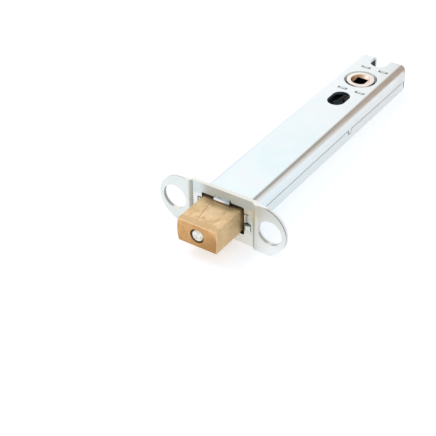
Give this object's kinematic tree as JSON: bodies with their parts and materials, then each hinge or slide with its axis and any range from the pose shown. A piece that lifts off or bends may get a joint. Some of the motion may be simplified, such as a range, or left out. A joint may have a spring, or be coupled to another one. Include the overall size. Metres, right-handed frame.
{
  "type": "tubular deadbolt",
  "caption": "Tubular deadbolt: pressed steel case, sliding brass bolt, eared fixing plate and a hub with a square spindle hole that drives the bolt.",
  "frame": {"origin": "front plane of the fixing plate's two ears, on the bolt's axis, halfway between the ear holes", "axes": "+X along the fixing plate, +Y back along the case away from the bolt's nose, +Z along the spindle, up as the object lies"},
  "size_m": [0.057, 0.1451, 0.0206],
  "materials": {
    "case_zinc": "bright zinc plate with faint bluish tints",
    "plate_zinc": "bright zinc plate",
    "inner_zinc": "zinc plate, duller inside",
    "bolt_brass": "drawn brass bar, not polished",
    "stem_steel": "bright turned steel",
    "spring_steel": "oiled spring steel",
    "hub_copper": "copper-tinted cast follower"
  },
  "bodies": {
    "case": {"case_upper": "case_zinc", "case_lower": "case_zinc", "fixing_plate": "plate_zinc", "bearing_plate_upper": "inner_zinc", "bearing_plate_lower": "inner_zinc", "detent_spring": "spring_steel"},
    "bolt": {"bolt_head": "bolt_brass", "bolt_stem": "stem_steel", "tail_bar": "inner_zinc", "drive_pins": "stem_steel"},
    "follower": {"hub": "hub_copper"}
  },
  "joints": [
    {"name": "bolt_slide", "type": "slide", "parent": "case", "child": "bolt", "axis": [0, 1, 0], "range_m": [0, 0.0135]},
    {"name": "hub_turn", "type": "hinge", "parent": "case", "child": "follower", "pos_m": [0, 0.107, 0], "axis": [0, 0, 1], "range_deg": [0, 90]}
  ],
  "couplings": [
    {"joint": "hub_turn", "follows": "bolt_slide", "rad_per_m": 116.36}
  ]
}
